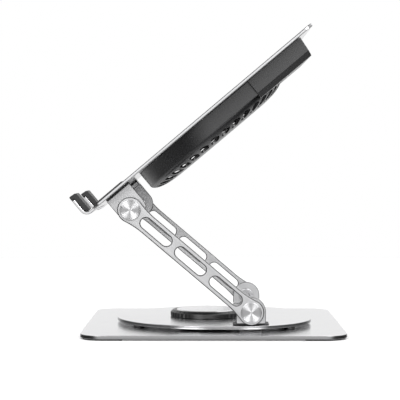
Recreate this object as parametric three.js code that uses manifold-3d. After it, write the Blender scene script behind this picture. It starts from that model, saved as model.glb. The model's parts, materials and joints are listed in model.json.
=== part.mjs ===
// A folding laptop stand: square base, turntable, two slotted lift arms, a platform with two lip hooks,
// and a cooling fan in a round shroud under the platform.
// Millimetres. +Z is up, -Y faces the user, X runs across the stand along every hinge axis.
// The origin is on the table, on the turntable's axis.
import * as THREE from 'three';
import { mergeVertices } from 'three/addons/utils/BufferGeometryUtils.js';
import Module from 'manifold-3d';

const wasm = await Module();
wasm.setup();

// ---------- driving dimensions ----------
const GAP = 0.3;                 // air left between pieces that rest on each other
const SIDES = [['left', -1], ['right', 1]];

const BASE = { size: 241.6, corner: 20, thick: 3.5, shiftY: 6.17 };
const FOOT = { thick: 1.0, inset: 2, width: 8, reach: 37 };
const BASE_BOTTOM = FOOT.thick + GAP;
const BASE_TOP = BASE_BOTTOM + BASE.thick;

const DISC = {
  front: 92, rearY: 94.5, rearCorner: 72, shiftY: 5.2,
  sheet: 1.6, rim: 3.2, rimWall: 2.5, top: 10,
};
const DISC_HOLE = 27.5;
const GLIDE = { radius: 5, frontX: 51, frontY: -64, rearX: 66, rearY: 77 };
const DISC_UNDER = DISC.top - DISC.sheet;      // underside of the turntable's sheet
const RIM_BOTTOM = DISC.top - DISC.rim;

const SPINDLE = { radius: 5.6, clearance: 0.4, head: 10, flange: 19.5, hexagon: 9.5 };
const RACE = { inner: 14, outer: 26, thick: 1.9, ballR: 1.15, ballRing: 20, balls: 12 };

const HUB = { outer: 35.5, ledge: 22, cap: 29.8, seat: 14.5, shoulder: 14.3, top: 16.8 };

const LOWER = { y: 40.5, z: 22.4 };            // lower hinge axis
const ARM = { length: 144.5, angle: 40.3, inner: 87, outer: 93, half: 9, boss: 11.7, fillet: 80 };
const SLOT = { half: 5.15, corner: 4.9, spans: [[13.6, 48.2], [54.8, 89.1], [96.1, 131.8]] };
const PIN = { shaft: 4, head: 7, headInner: 77.2, headOuter: 79.6, nut: 6.2, end: 92.6 };
const PIN_HOLE = PIN.shaft + 0.35;
const EAR = { inner: 80, outer: 85.4, half: 13.5, foot: 64, footThick: 4 };
const WASHER = { inner: 85.8, outer: 86.7, radius: 10 };
const COUNTERBORE = { radius: 7.8, depth: 3.1 };
const CAP = { radius: 9.4, face: 8.9, thick: 1.4, rim: 0.9 };
const GASKET = { thick: 0.8, proud: 3 };
const SCREW_HOLE = 2.15;
const STUD = { x: 69.5, reach: 7.5, half: 4.5, thick: 1.5, radius: 1.8 };

const PLATE = { half: 99, front: -25, rear: 234.5, corner: 8, top: 24.05, thick: 3.0 };
const PLATE_UNDER = PLATE.top - PLATE.thick;
const TILT = 40.1;
const HOOK = { inner: 47, outer: 76, face: -36.8, thick: 2.6, bend: 7.2, metalTip: 40.7 };
const LIP_PAD = { tip: 45.2, inner: -29.2, trim: 0.5 };
const TOP_PAD = { inner: 42, outer: 91, front: -22.5, rear: 10.5, thick: 0.9 };
const FLANGE = { front: -11.9, rear: 14.6, top: 19.45, radius: 13.25 };

const FAN = { along: 106.3, radius: 82, wall: 2, crease: 5.5, flat: 50, bottom: -4, bossRing: 77 };
const VENT = { count: 36, inner: 57, outer: 78.5, width: 6.5 };
const BOX = { front: 163, rear: 219.7, half: 84.5, wall: 2, crease: 6.5, bottom: 1.4, chamfer: 4.5 };
const REAR_DRAFT = 2.2;           // how far the box's rear wall leans in at its bottom edge
const SCREW = { head: 3.3, sink: 1.9, boss: 3.6, boxX: 76, boxY: 208, bores: 8 };
const HOUSING_TOP = PLATE_UNDER - GAP;
const GRILLE = { radius: 62, pitch: 12, half: 2.6 };
const FAN_FRAME = { seat: 18, hoopInner: 44, hoopOuter: 48, thick: 1.5, strut: 2.5 };
const MOTOR = { stator: 15, bore: 2.0, shaft: 1.5, low: 0.6, high: 10.8 };
const WHEEL = { outer: 18.5, inner: 16.4, top: 14, roof: 12, low: 1.6 };
const BLADE = { count: 9, tip: 57, half: 9, thick: 0.6, pitch: 28, middle: 7.6 };

const BOARD = { half: 34, front: 196, rear: 213.4, low: 6, thick: 1.6, legX: 30, legInset: 3.2 };
const SOCKET = { x0: 20, x1: 29, z0: 8.2, z1: 11.5, front: 206, mouth: 6.5, wall: 0.4, tongue: 0.35 };
const BUTTON = { x: -24, z: 11.6, radius: 3.4, proud: 1.2, depth: 3.6 };

const FINE = 30;                 // facets of a large round
const ROUND = 16;                // facets of a pin or boss
const COARSE = 8;                // facets of a screw

// ---------- materials ----------
function finish(colour, roughness, metalness) {
  return new THREE.MeshStandardMaterial({ color: colour, roughness, metalness });
}
const aluminium = finish(0xc9cacc, 0.42, 0.9);
const armAluminium = finish(0xbfc0c2, 0.45, 0.9);
const turnedAluminium = finish(0xd8d9da, 0.25, 1.0);
const steel = finish(0x9b9da0, 0.35, 1.0);
const blackSteel = finish(0x242426, 0.4, 0.6);
const blackPlastic = finish(0x26272a, 0.45, 0.0);
const darkPlastic = finish(0x1a1a1c, 0.6, 0.0);
const silicone = finish(0x161617, 0.75, 0.0);
const boardGreen = finish(0x1f5a37, 0.55, 0.0);

// ---------- solids ----------
function solidOf(geometry) {
  const bare = geometry.clone();
  bare.deleteAttribute('normal');
  bare.deleteAttribute('uv');
  const merged = mergeVertices(bare.index ? bare.toNonIndexed() : bare, 1e-3);
  const corners = merged.index.array;
  const kept = [];
  for (let i = 0; i < corners.length; i += 3) {
    const [a, b, c] = [corners[i], corners[i + 1], corners[i + 2]];
    if (a !== b && b !== c && c !== a) kept.push(a, b, c);
  }
  const mesh = new wasm.Mesh({
    numProp: 3,
    vertProperties: new Float32Array(merged.attributes.position.array),
    triVerts: new Uint32Array(kept),
  });
  return new wasm.Manifold(mesh);
}

function join(...geometries) {
  return geometries.map(solidOf).reduce((sum, piece) => sum.add(piece));
}

function cut(body, ...tools) {
  return tools.map(solidOf).reduce((rest, tool) => rest.subtract(tool), body);
}

function geometryOf(solid) {
  const mesh = solid.getMesh();
  const geometry = new THREE.BufferGeometry();
  geometry.setAttribute('position', new THREE.BufferAttribute(new Float32Array(mesh.vertProperties), 3));
  geometry.setIndex(new THREE.BufferAttribute(new Uint32Array(mesh.triVerts), 1));
  return geometry.toNonIndexed();
}

function add(group, name, solid, material) {
  const geometry = geometryOf(solid);
  geometry.computeVertexNormals();
  const mesh = new THREE.Mesh(geometry, material);
  mesh.name = name;
  group.add(mesh);
}

// ---------- shapes ----------
const rad = THREE.MathUtils.degToRad;
const QUARTER = Math.PI / 2;

function box(x0, x1, y0, y1, z0, z1) {
  const geometry = new THREE.BoxGeometry(x1 - x0, y1 - y0, z1 - z0);
  return geometry.translate((x0 + x1) / 2, (y0 + y1) / 2, (z0 + z1) / 2);
}

// A closed profile of [radius, height] points turned about Z.
function turned(profile, facets) {
  const points = profile.map(([r, h]) => new THREE.Vector2(r, h));
  return new THREE.LatheGeometry(points, facets).rotateX(QUARTER);
}

function disc(radius, z0, z1, facets) {
  return turned([[0, z0], [radius, z0], [radius, z1], [0, z1]], facets);
}

function ring(inner, outer, z0, z1, facets) {
  return turned([[inner, z0], [outer, z0], [outer, z1], [inner, z1], [inner, z0]], facets);
}

function slab(shape, z0, z1) {
  return new THREE.ExtrudeGeometry(shape, { depth: z1 - z0, bevelEnabled: false }).translate(0, 0, z0);
}

// The points of an arc about cx, cy, from one angle to another, in a few straight facets.
function arc(cx, cy, r, from, to, facets) {
  const points = [];
  for (let i = 0; i <= facets; i += 1) {
    const angle = from + ((to - from) * i) / facets;
    points.push(new THREE.Vector2(cx + r * Math.cos(angle), cy + r * Math.sin(angle)));
  }
  return points;
}

function at(x, y) {
  return [new THREE.Vector2(x, y)];
}

function outline(...runs) {
  return new THREE.Shape(runs.flat());
}

function roundedRectangle(x0, x1, y0, y1, r, facets) {
  return outline(
    arc(x1 - r, y0 + r, r, -QUARTER, 0, facets),
    arc(x1 - r, y1 - r, r, 0, QUARTER, facets),
    arc(x0 + r, y1 - r, r, QUARTER, 2 * QUARTER, facets),
    arc(x0 + r, y0 + r, r, 2 * QUARTER, 3 * QUARTER, facets),
  );
}

// A slot with nearly round ends, from x0 to x1 along its own length.
function slotShape(x0, x1, half, corner, facets) {
  return roundedRectangle(x0, x1, -half, half, corner, facets);
}

// The same turned solid with its axis along +X (side 1) or -X (side -1), standing at y, z.
function acrossX(geometry, side, y, z) {
  return geometry.rotateY(side * QUARTER).translate(0, y, z);
}

// ---------- base ----------
function makeBase(group) {
  const half = BASE.size / 2;
  const [front, rear] = [BASE.shiftY - half, BASE.shiftY + half];
  const plate = join(slab(roundedRectangle(-half, half, front, rear, BASE.corner, 8), BASE_BOTTOM, BASE_TOP));
  const bore = disc(SPINDLE.radius + SPINDLE.clearance, 0, BASE_TOP + 1, ROUND);
  add(group, 'base_plate', cut(plate, bore), aluminium);
  for (const [sideName, sx] of SIDES) {
    for (const [endName, sy] of [['front', -1], ['rear', 1]]) {
      const foot = slab(footShape(), 0, FOOT.thick);
      const turn = sx > 0 ? (sy > 0 ? 0 : -QUARTER) : (sy > 0 ? QUARTER : 2 * QUARTER);
      foot.rotateZ(turn).translate(0, BASE.shiftY, 0);
      add(group, `foot_${endName}_${sideName}`, join(foot), silicone);
    }
  }
  makeSpindle(group);
}

// An angle strip that follows the base plate's corner, drawn for the corner at +X, +Y.
function footShape() {
  const edge = BASE.size / 2 - FOOT.inset;
  const outer = BASE.corner - FOOT.inset;
  const inner = outer - FOOT.width;
  const centre = edge - outer;
  const start = edge - FOOT.reach;
  return outline(
    at(edge - FOOT.width, start),
    at(edge, start),
    arc(centre, centre, outer, 0, QUARTER, 6),
    at(start, edge),
    at(start, edge - FOOT.width),
    arc(centre, centre, inner, QUARTER, 0, 6),
  );
}

function makeSpindle(group) {
  const lowerRace = BASE_TOP + GAP;
  const flange = raceStackTop() + GAP;
  const head = disc(SPINDLE.head, GAP, FOOT.thick, ROUND);
  const bolt = join(head, disc(SPINDLE.radius, GAP, HUB.seat, ROUND));
  add(group, 'spindle_bolt', bolt, blackSteel);
  const race = ring(RACE.inner, RACE.outer, lowerRace, lowerRaceTop(), FINE);
  add(group, 'bearing_lower_race', join(race), blackSteel);
  const nutFlange = disc(SPINDLE.flange, flange, flange + 1, ROUND);
  const hexagon = disc(SPINDLE.hexagon, flange + 0.5, HUB.seat - GAP, 6);
  const bore = disc(SPINDLE.radius + 0.2, 0, 20, ROUND);
  add(group, 'spindle_nut', cut(join(nutFlange, hexagon), bore), blackSteel);
}

function lowerRaceTop() {
  return BASE_TOP + GAP + RACE.thick;
}

function upperRaceBottom() {
  return lowerRaceTop() + 2 * RACE.ballR + 0.2;
}

function raceStackTop() {
  return upperRaceBottom() + RACE.thick;
}

// ---------- thrust bearing: the balls sit in a flat retainer, joined to it ----------
function makeBearing(group) {
  const mid = lowerRaceTop() + RACE.ballR + 0.1;
  const pieces = [ring(RACE.ballRing - 1.8, RACE.ballRing + 1.8, mid - 0.4, mid + 0.4, FINE)];
  for (let i = 0; i < RACE.balls; i += 1) {
    const angle = (i / RACE.balls) * 2 * Math.PI;
    const ball = new THREE.OctahedronGeometry(RACE.ballR, 1);
    pieces.push(ball.translate(RACE.ballRing * Math.cos(angle), RACE.ballRing * Math.sin(angle), mid));
  }
  add(group, 'bearing_balls', join(...pieces), blackSteel);
}

// ---------- turntable ----------
// Half round at the front, a rounded square at the rear, drawn inset mm inside the rim.
function turntableShape(inset) {
  const corner = DISC.rearCorner - inset;
  const cx = DISC.front - DISC.rearCorner;
  const cy = DISC.rearY - DISC.rearCorner;
  return outline(
    arc(0, 0, DISC.front - inset, -2 * QUARTER, 0, 24),
    arc(cx, cy, corner, 0, QUARTER, 10),
    arc(-cx, cy, corner, QUARTER, 2 * QUARTER, 10),
  );
}

function makeTurntable(group) {
  const whole = slab(turntableShape(0), RIM_BOTTOM, DISC.top).translate(0, DISC.shiftY, 0);
  const hollow = slab(turntableShape(DISC.rimWall), 0, DISC_UNDER).translate(0, DISC.shiftY, 0);
  const holes = bracketStudPlaces().map(([x, y]) => disc(SCREW_HOLE, 0, 20, COARSE).translate(x, y, 0));
  const sheet = cut(join(whole), hollow, disc(DISC_HOLE, 0, 20, FINE), ...holes);
  add(group, 'turntable_plate', sheet, aluminium);
  const race = ring(RACE.inner, RACE.outer, upperRaceBottom(), raceStackTop(), FINE);
  add(group, 'bearing_upper_race', join(race), blackSteel);
  for (const [sideName, sx] of SIDES) {
    add(group, `glide_pad_front_${sideName}`, glidePad(sx * GLIDE.frontX, GLIDE.frontY), darkPlastic);
    add(group, `glide_pad_rear_${sideName}`, glidePad(sx * GLIDE.rearX, GLIDE.rearY), darkPlastic);
  }
  makeHub(group);
  makeBrackets(group);
}

function glidePad(x, y) {
  return join(disc(GLIDE.radius, BASE_TOP + GAP, RIM_BOTTOM - GAP, ROUND).translate(x, y, 0));
}

function makeHub(group) {
  const floor = DISC.top + GAP;
  const ledge = HUB.seat - 1.5;
  const profile = [
    [DISC_HOLE + 1, floor], [HUB.outer, floor], [HUB.outer, HUB.shoulder], [HUB.outer - 2.8, HUB.top - GAP],
    [HUB.cap + 0.5, HUB.top - GAP], [HUB.cap + 0.5, HUB.seat], [HUB.ledge, HUB.seat], [HUB.ledge, ledge],
    [DISC_HOLE + 1, ledge], [DISC_HOLE + 1, floor],
  ];
  add(group, 'hub_collar', join(turned(profile, FINE)), darkPlastic);
  const cap = turned([[0, HUB.seat + GAP], [HUB.cap, HUB.seat + GAP], [HUB.cap, HUB.top - 0.5],
    [HUB.cap - 0.5, HUB.top], [0, HUB.top]], FINE);
  add(group, 'hub_cap', join(cap), aluminium);
}

function bracketStudPlaces() {
  const places = [];
  for (const [, sx] of SIDES) {
    places.push([sx * STUD.x, LOWER.y - STUD.reach], [sx * STUD.x, LOWER.y + STUD.reach]);
  }
  return places;
}

// A flat clamp plate with two studs standing on it, centred at x, y with its top at z.
function studPlate(x, y, z, studTop) {
  const length = STUD.reach + 3;
  const plate = box(x - STUD.half, x + STUD.half, y - length, y + length, z - STUD.thick, z);
  const studs = [-STUD.reach, STUD.reach].map((reach) =>
    disc(STUD.radius, z - 0.5, studTop, COARSE).translate(x, y + reach, 0));
  return join(plate, ...studs);
}

// An ear with a round top about the hinge axis, drawn in the Y, Z plane from the foot's underside up.
function earShape(bottom) {
  return outline(
    at(LOWER.y - EAR.half, bottom),
    at(LOWER.y + EAR.half, bottom),
    arc(LOWER.y, LOWER.z, EAR.half, 0, 2 * QUARTER, 14),
  );
}

// A profile drawn in the Y, Z plane and pushed out along X from x0 to x1, mirrored for side -1.
function pushX(shape, side, x0, x1) {
  const geometry = slab(shape, 0, x1 - x0);
  const turn = new THREE.Matrix4().makeBasis(
    new THREE.Vector3(0, 1, 0), new THREE.Vector3(0, 0, 1), new THREE.Vector3(1, 0, 0));
  geometry.applyMatrix4(turn);
  return geometry.translate(side > 0 ? x0 : -x1, 0, 0);
}

function sideBox(side, x0, x1, y0, y1, z0, z1) {
  return side > 0 ? box(x0, x1, y0, y1, z0, z1) : box(-x1, -x0, y0, y1, z0, z1);
}

function makeBrackets(group) {
  const gasketBottom = DISC.top + GAP;
  const gasketTop = gasketBottom + GASKET.thick;
  const bottom = gasketTop + GAP;
  for (const [sideName, sx] of SIDES) {
    const holes = bracketStudPlaces().map(([x, y]) => disc(SCREW_HOLE, 0, 40, COARSE).translate(x, y, 0));
    const ear = pushX(earShape(bottom), sx, EAR.inner, EAR.outer);
    const foot = sideBox(sx, EAR.foot, EAR.inner + 1, LOWER.y - EAR.half, LOWER.y + EAR.half,
      bottom, bottom + EAR.footThick);
    const bore = acrossX(disc(PIN_HOLE, 70, 100, ROUND), sx, LOWER.y, LOWER.z);
    add(group, `lower_bracket_${sideName}`, cut(join(ear, foot), bore, ...holes), armAluminium);
    const pad = sideBox(sx, EAR.foot - 1.5, EAR.outer + 0.8, LOWER.y - EAR.half - GASKET.proud,
      LOWER.y + EAR.half + GASKET.proud, gasketBottom, gasketTop);
    add(group, `lower_gasket_${sideName}`, cut(join(pad), ...holes), silicone);
    const studs = studPlate(sx * STUD.x, LOWER.y, DISC_UNDER - GAP, bottom + EAR.footThick - 0.5);
    add(group, `lower_studs_${sideName}`, studs, steel);
    add(group, `lower_pin_${sideName}`, join(...pinPieces(sx, LOWER.y, LOWER.z)), steel);
    add(group, `lower_nut_${sideName}`, nut(sx, LOWER.y, LOWER.z), steel);
    add(group, `lower_washer_${sideName}`, washer(sx, LOWER.y, LOWER.z), darkPlastic);
  }
}

// A headed pin along X, with its head on the stand's inner side.
function pinPieces(side, y, z) {
  const head = acrossX(disc(PIN.head, PIN.headInner, PIN.headOuter, ROUND), side, y, z);
  const shaft = acrossX(disc(PIN.shaft, PIN.headInner + 1, PIN.end, ROUND), side, y, z);
  return [head, shaft];
}

function nut(side, y, z) {
  const inner = ARM.outer - COUNTERBORE.depth + GAP;
  const hexagon = join(acrossX(disc(PIN.nut, inner, PIN.end, 6), side, y, z));
  return cut(hexagon, acrossX(disc(PIN.shaft + 0.2, 0, 120, ROUND), side, y, z));
}

// ---------- arms ----------
// Two round bosses joined by a slotted bar, along local x from the upper hinge to the lower hinge.
function armShape() {
  const reach = Math.sqrt((ARM.boss + ARM.fillet) ** 2 - (ARM.half + ARM.fillet) ** 2);
  const lift = Math.atan2(ARM.half + ARM.fillet, reach);
  const side = ARM.half + ARM.fillet;
  const half = 2 * QUARTER;
  const shape = outline(
    arc(0, 0, ARM.boss, lift, 2 * half - lift, 16),
    arc(reach, -side, ARM.fillet, half - lift, QUARTER, 3),
    arc(ARM.length - reach, -side, ARM.fillet, QUARTER, lift, 3),
    arc(ARM.length, 0, ARM.boss, half + lift, 3 * half - lift, 16),
    arc(ARM.length - reach, side, ARM.fillet, -lift, -QUARTER, 3),
    arc(reach, side, ARM.fillet, 3 * QUARTER, half + lift, 3),
  );
  for (const [start, end] of SLOT.spans) {
    shape.holes.push(slotShape(start, end, SLOT.half, SLOT.corner, 4));
  }
  return shape;
}

function makeArms(group) {
  const upper = upperHinge();
  const slope = rad(-ARM.angle);
  for (const [sideName, sx] of SIDES) {
    const blank = slab(armShape(), 0, ARM.outer - ARM.inner);
    const bore = [0, ARM.length].map((x) => disc(PIN_HOLE, -1, 20, ROUND).translate(x, 0, 0));
    const start = sx > 0 ? ARM.outer - ARM.inner - COUNTERBORE.depth : -1;
    const end = sx > 0 ? 20 : COUNTERBORE.depth;
    const sinks = [0, ARM.length].map((x) => disc(COUNTERBORE.radius, start, end, ROUND).translate(x, 0, 0));
    const solid = cut(join(blank), ...bore, ...sinks);
    const geometry = geometryOf(solid);
    const turn = new THREE.Matrix4().makeBasis(
      new THREE.Vector3(0, Math.cos(slope), Math.sin(slope)),
      new THREE.Vector3(0, -Math.sin(slope), Math.cos(slope)),
      new THREE.Vector3(1, 0, 0));
    turn.setPosition(sx > 0 ? ARM.inner : -ARM.outer, upper.y, upper.z);
    geometry.applyMatrix4(turn);
    add(group, `arm_${sideName}`, solidOf(geometry), armAluminium);
    add(group, `hinge_cap_lower_${sideName}`, hingeCap(sx, LOWER.y, LOWER.z), turnedAluminium);
    add(group, `hinge_cap_upper_${sideName}`, hingeCap(sx, upper.y, upper.z), turnedAluminium);
  }
}

function hingeCap(side, y, z) {
  const seat = ARM.outer + GAP;
  const profile = [[0, seat], [CAP.radius, seat], [CAP.radius, seat + CAP.rim],
    [CAP.face, seat + CAP.thick], [0, seat + CAP.thick]];
  return join(acrossX(turned(profile, ROUND), side, y, z));
}

function upperHinge() {
  const slope = rad(ARM.angle);
  return { y: LOWER.y - ARM.length * Math.cos(slope), z: LOWER.z + ARM.length * Math.sin(slope) };
}

// ---------- friction washers and upper hinge pins ----------
function washer(side, y, z) {
  return join(acrossX(ring(PIN_HOLE, WASHER.radius, WASHER.inner, WASHER.outer, ROUND), side, y, z));
}

function makeUpperPins(group) {
  const upper = upperHinge();
  for (const [sideName, sx] of SIDES) {
    add(group, `upper_pin_${sideName}`, join(...pinPieces(sx, upper.y, upper.z)), steel);
    add(group, `upper_nut_${sideName}`, nut(sx, upper.y, upper.z), steel);
    add(group, `upper_washer_${sideName}`, washer(sx, upper.y, upper.z), darkPlastic);
  }
}

// ---------- platform, drawn level: x across, y along the plate to the rear, z out of its top ----------
function hookShape() {
  const centreY = HOOK.face + HOOK.bend;
  const centreZ = PLATE_UNDER + HOOK.bend;
  const root = PLATE.front + 2;
  return outline(
    at(root, PLATE_UNDER),
    at(root, PLATE_UNDER + HOOK.thick),
    arc(centreY, centreZ, HOOK.bend - HOOK.thick, -QUARTER, -2 * QUARTER, 5),
    at(HOOK.face + HOOK.thick, HOOK.metalTip),
    at(HOOK.face, HOOK.metalTip),
    arc(centreY, centreZ, HOOK.bend, 2 * QUARTER, 3 * QUARTER, 6),
  );
}

function lipPadShape() {
  const inside = HOOK.face + HOOK.thick + GAP;
  const foot = PLATE.top + 0.8;
  const underTip = HOOK.metalTip + GAP;
  return outline(
    at(inside, foot + 3),
    at(inside + 1.5, foot),
    at(LIP_PAD.inner - 1, foot),
    at(LIP_PAD.inner, foot + 1),
    at(LIP_PAD.inner, LIP_PAD.tip - 1.6),
    at(LIP_PAD.inner - 1.5, LIP_PAD.tip - 0.4),
    at(inside + 0.6, LIP_PAD.tip - 0.2),
    at(inside - 0.4, LIP_PAD.tip),
    at(HOOK.face, LIP_PAD.tip),
    at(HOOK.face, underTip),
    at(inside, underTip),
  );
}

function housingScrewPlaces() {
  const places = [];
  for (const degrees of [45, 135, 225, 315]) {
    const turn = rad(degrees);
    places.push([FAN.bossRing * Math.cos(turn), FAN.along + FAN.bossRing * Math.sin(turn)]);
  }
  places.push([-SCREW.boxX, SCREW.boxY], [SCREW.boxX, SCREW.boxY]);
  return places;
}

function flangeStudPlaces() {
  const middle = (FLANGE.front + FLANGE.rear) / 2;
  const places = [];
  for (const [, sx] of SIDES) {
    places.push([sx * STUD.x, middle - STUD.reach], [sx * STUD.x, middle + STUD.reach]);
  }
  return places;
}

// Parallel air slots that fill a circle over the fan.
function grilleSlots() {
  const slots = [];
  for (let y = -4 * GRILLE.pitch; y <= 4 * GRILLE.pitch; y += GRILLE.pitch) {
    const reach = Math.sqrt(GRILLE.radius ** 2 - y ** 2);
    const shape = slotShape(-reach, reach, GRILLE.half, GRILLE.half - 0.1, 2);
    slots.push(slab(shape, PLATE_UNDER - 1, PLATE.top + 1).translate(0, FAN.along + y, 0));
  }
  return slots;
}

function makePlatform(group) {
  const sheet = roundedRectangle(-PLATE.half, PLATE.half, PLATE.front, PLATE.rear, PLATE.corner, 5);
  const hooks = SIDES.map(([, sx]) => pushX(hookShape(), sx, HOOK.inner, HOOK.outer));
  const blank = join(slab(sheet, PLATE_UNDER, PLATE.top), ...hooks);
  const sinks = housingScrewPlaces().flatMap(([x, y]) => [
    disc(SCREW.head, PLATE.top - SCREW.sink, PLATE.top + 1, COARSE).translate(x, y, 0),
    disc(SCREW_HOLE, PLATE_UNDER - 1, PLATE.top, COARSE).translate(x, y, 0),
  ]);
  const blind = flangeStudPlaces().map(([x, y]) =>
    disc(SCREW_HOLE, PLATE_UNDER - 1, PLATE.top - 0.8, COARSE).translate(x, y, 0));
  add(group, 'platform_plate', cut(blank, ...sinks, ...blind, ...grilleSlots()), aluminium);
  for (const [sideName, sx] of SIDES) {
    const lip = pushX(lipPadShape(), sx, HOOK.inner + LIP_PAD.trim, HOOK.outer - LIP_PAD.trim);
    add(group, `lip_pad_${sideName}`, join(lip), silicone);
    const [x0, x1] = sx > 0 ? [TOP_PAD.inner, TOP_PAD.outer] : [-TOP_PAD.outer, -TOP_PAD.inner];
    const pad = roundedRectangle(x0, x1, TOP_PAD.front, TOP_PAD.rear, 4, 3);
    const padBottom = PLATE.top + GAP;
    add(group, `top_pad_${sideName}`, join(slab(pad, padBottom, padBottom + TOP_PAD.thick)), silicone);
  }
  makeFlanges(group);
  makeHousing(group);
}

function flangeShape() {
  const middle = (FLANGE.front + FLANGE.rear) / 2;
  return outline(
    at(FLANGE.rear, FLANGE.top),
    at(FLANGE.front, FLANGE.top),
    arc(middle, 0, FLANGE.radius, 2 * QUARTER, 4 * QUARTER, 14),
  );
}

function makeFlanges(group) {
  const holes = flangeStudPlaces().map(([x, y]) => disc(SCREW_HOLE, 5, 30, COARSE).translate(x, y, 0));
  const footBottom = FLANGE.top - EAR.footThick;
  for (const [sideName, sx] of SIDES) {
    const ear = pushX(flangeShape(), sx, EAR.inner, EAR.outer);
    const foot = sideBox(sx, EAR.foot, EAR.inner + 1, FLANGE.front, FLANGE.rear, footBottom, FLANGE.top);
    const bore = acrossX(disc(PIN_HOLE, 70, 100, ROUND), sx, 0, 0);
    add(group, `upper_flange_${sideName}`, cut(join(ear, foot), bore, ...holes), armAluminium);
    const pad = sideBox(sx, EAR.foot, EAR.outer, FLANGE.front, FLANGE.rear,
      FLANGE.top + GAP, PLATE_UNDER - GAP);
    add(group, `upper_gasket_${sideName}`, cut(join(pad), ...holes), silicone);
    const middle = (FLANGE.front + FLANGE.rear) / 2;
    const studs = studPlate(sx * STUD.x, middle, footBottom - GAP, PLATE.top - 1.2);
    add(group, `upper_studs_${sideName}`, studs, steel);
  }
}

// The shroud's outline from the plate down its wall, round the shoulder and in to the axis.
function shroudCurve(inset) {
  const points = [[FAN.radius - inset, HOUSING_TOP], [FAN.radius - inset, FAN.crease]];
  const steps = 3;
  for (let i = 1; i <= steps; i += 1) {
    const angle = (i / steps) * QUARTER;
    const r = FAN.flat + (FAN.radius - inset - FAN.flat) * Math.cos(angle);
    points.push([r, FAN.crease - (FAN.crease - FAN.bottom - inset) * Math.sin(angle)]);
  }
  points.push([0, FAN.bottom + inset]);
  return points;
}

// Straight sides that carry the round wall back to the rear box. They are hollow and open at the top.
function shroudCheeks() {
  const rear = BOX.front - GAP - FAN.along;
  const whole = box(-FAN.radius, FAN.radius, 0, rear, FAN.crease, HOUSING_TOP);
  const side = FAN.radius - FAN.wall;
  const hollow = box(-side, side, -1, rear - FAN.wall, FAN.crease + FAN.wall, HOUSING_TOP + 9);
  const middleOfWall = disc(FAN.radius - FAN.wall / 2, FAN.crease - 1, HOUSING_TOP + 9, 84);
  return cut(join(whole), hollow, middleOfWall);
}

function makeHousing(group) {
  const rim = shroudCurve(0).reverse();
  const round = join(turned([...rim, ...shroudCurve(FAN.wall)], VENT.count));
  const shroud = round.add(shroudCheeks());
  const vents = [];
  for (let i = 0; i < VENT.count; i += 1) {
    const ventTop = FAN.crease - 0.8;
    const vent = box(VENT.inner, VENT.outer, -VENT.width / 2, VENT.width / 2, FAN.bottom - 3, ventTop);
    vents.push(vent.rotateZ(((i + 0.5) / VENT.count) * 4 * QUARTER));
  }
  const bosses = housingScrewPlaces().slice(0, 4).map(([x, y]) =>
    disc(SCREW.boss, FAN.crease - 0.4, HOUSING_TOP, COARSE).translate(x, y - FAN.along, 0));
  const bores = housingScrewPlaces().slice(0, 4).map(([x, y]) =>
    disc(SCREW_HOLE, SCREW.bores, 30, COARSE).translate(x, y - FAN.along, 0));
  const ventless = cut(shroud, ...vents);
  const finished = cut(bosses.map(solidOf).reduce((sum, boss) => sum.add(boss), ventless), ...bores);
  add(group, 'fan_shroud', finished.translate([0, FAN.along, 0]), blackPlastic);
  makeRearBox(group);
  makeFan(group);
  makeElectronics(group);
}

function boxSection(inset) {
  const half = BOX.half - inset;
  const low = BOX.bottom + inset;
  const top = inset > 0 ? 40 : HOUSING_TOP;
  return outline(
    at(-half, top), at(-half, BOX.crease), at(-half + BOX.chamfer, low),
    at(half - BOX.chamfer, low), at(half, BOX.crease), at(half, top),
  );
}

// A section drawn in the X, Z plane and pushed along Y from y0 to y1.
function pushY(shape, y0, y1) {
  return slab(shape, 0, y1 - y0).rotateX(QUARTER).translate(0, y1, 0);
}

function makeRearBox(group) {
  const shell = join(pushY(boxSection(0), BOX.front, BOX.rear));
  const inside = pushY(boxSection(BOX.wall), BOX.front + BOX.wall, BOX.rear - BOX.wall - REAR_DRAFT);
  const shroudRoom = disc(FAN.radius + GAP + 0.1, -20, 40, 60).translate(0, FAN.along, 0);
  const lean = Math.atan2(REAR_DRAFT, HOUSING_TOP - BOX.bottom);
  const trim = box(-120, 120, 0, 40, -60, 60).rotateX(-lean).translate(0, BOX.rear, HOUSING_TOP);
  const wires = box(-12, 12, FAN.along + 70, FAN.along + 90, 8, 14);
  const socketHole = box(SOCKET.x0 - GAP, SOCKET.x1 + GAP, 190, 240, SOCKET.z0 - GAP, SOCKET.z1 + GAP);
  const buttonHole = pushY(buttonShape(BUTTON.radius + GAP), 200, 240);
  const solid = cut(shell, inside, shroudRoom, trim, wires, socketHole, buttonHole);
  const bosses = housingScrewPlaces().slice(4).map(([x, y]) =>
    disc(SCREW.boss, BOX.bottom + 1.5, HOUSING_TOP, COARSE).translate(x, y, 0));
  const bores = housingScrewPlaces().slice(4).map(([x, y]) =>
    disc(SCREW_HOLE, SCREW.bores, 30, COARSE).translate(x, y, 0));
  const withBosses = bosses.map(solidOf).reduce((sum, boss) => sum.add(boss), solid);
  add(group, 'rear_box', cut(withBosses, ...bores), blackPlastic);
}

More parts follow.
